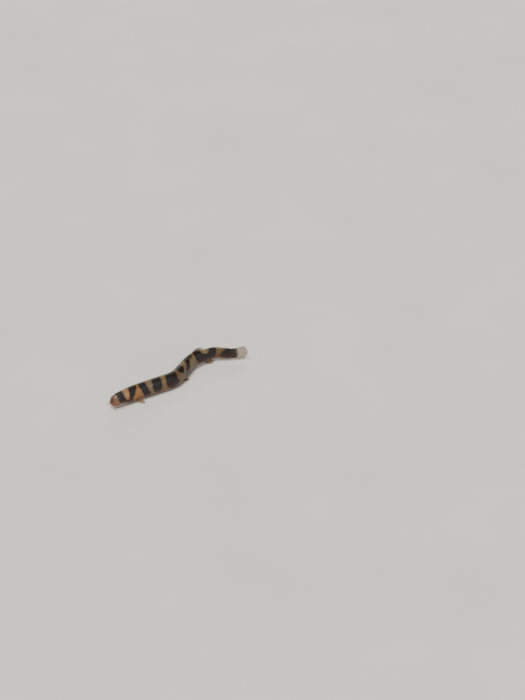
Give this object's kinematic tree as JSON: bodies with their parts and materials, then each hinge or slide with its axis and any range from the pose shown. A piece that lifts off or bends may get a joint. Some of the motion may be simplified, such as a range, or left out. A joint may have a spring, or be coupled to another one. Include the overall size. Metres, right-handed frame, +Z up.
{
  "type": "kuhli loach",
  "caption": "Slender banded bottom-dwelling fish resting on its belly in a gentle S bend, with whisker-like barbels round the mouth, small rounded fins and a fan tail.",
  "frame": {"origin": "on the floor, under the middle of the fish's box seen from above", "axes": "+Z up; the fish lies along X with its head towards -X; its left side faces -Y"},
  "size_m": [0.0808, 0.0168, 0.0115],
  "materials": {
    "skin": "wet smooth skin with dark and cream bands, soft satin to glossy",
    "eye": "glossy near-black eye",
    "barbel": "smooth pinkish flesh, slightly wet",
    "fin": "thin pale membrane with low rays, slightly wet"
  },
  "bodies": {
    "root": {"head": "skin", "trunk_front": "skin", "trunk_middle": "skin", "trunk_rear": "skin", "tail_stalk": "skin", "eye_left": "eye", "eye_right": "eye", "barbel_rostral_left": "barbel", "barbel_rostral_right": "barbel", "barbel_snout_side_left": "barbel", "barbel_snout_side_right": "barbel", "barbel_mouth_corner_left": "barbel", "barbel_mouth_corner_right": "barbel", "barbel_chin_left": "barbel", "barbel_chin_right": "barbel", "pectoral_fin_left": "fin", "pectoral_fin_right": "fin", "pelvic_fin_left": "fin", "pelvic_fin_right": "fin", "dorsal_fin": "fin", "anal_fin": "fin", "caudal_fin": "fin"}
  },
  "joints": []
}
